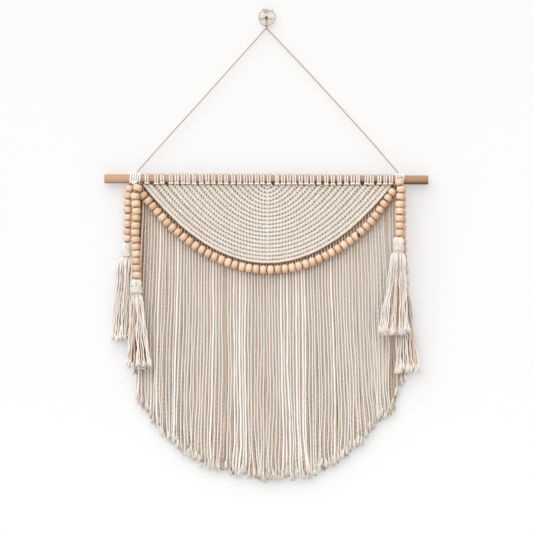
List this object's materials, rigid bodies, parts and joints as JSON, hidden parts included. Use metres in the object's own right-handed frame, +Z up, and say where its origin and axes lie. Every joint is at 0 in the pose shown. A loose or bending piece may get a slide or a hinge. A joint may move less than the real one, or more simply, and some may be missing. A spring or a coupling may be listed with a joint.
{
  "type": "macrame wall hanging on a wooden rod and wall peg",
  "caption": "Half-moon knotted cotton panel on a round wooden rod, with a bead swag, long cut fringe, side bead strings with tassels, and a twine hanger on a wall peg.",
  "frame": {"origin": "middle of the wall peg's flat back, on the plane of the wall", "axes": "+Z up, +Y into the wall, so -Y is the front; +X is the viewer's right, along the rod"},
  "size_m": [0.45, 0.0372, 0.6606],
  "materials": {
    "cotton": "natural undyed cotton cord, matt",
    "bead_wood": "smooth pale wood, satin",
    "rod_wood": "bare turned wood with fine grain",
    "twine": "tan twisted twine, matt",
    "white_peg": "satin white",
    "brown_pin": "dark aged metal"
  },
  "bodies": {
    "root": {"wall_peg": "white_peg", "peg_pin": "brown_pin", "hanger_loop": "twine", "hanger_cord_left": "twine", "hanger_cord_right": "twine", "wooden_rod": "rod_wood", "left_wrap": "cotton", "right_wrap": "cotton", "macrame_panel": "cotton", "fringe": "cotton", "swag_beads": "bead_wood", "left_outer_beads": "bead_wood", "left_outer_tassel": "cotton", "left_outer_band": "cotton", "left_inner_beads": "bead_wood", "left_inner_tassel": "cotton", "left_inner_band": "cotton", "right_front_beads": "bead_wood", "right_front_tassel": "cotton", "right_front_band": "cotton", "right_back_beads": "bead_wood", "right_back_tassel": "cotton", "right_back_band": "cotton"}
  },
  "joints": []
}
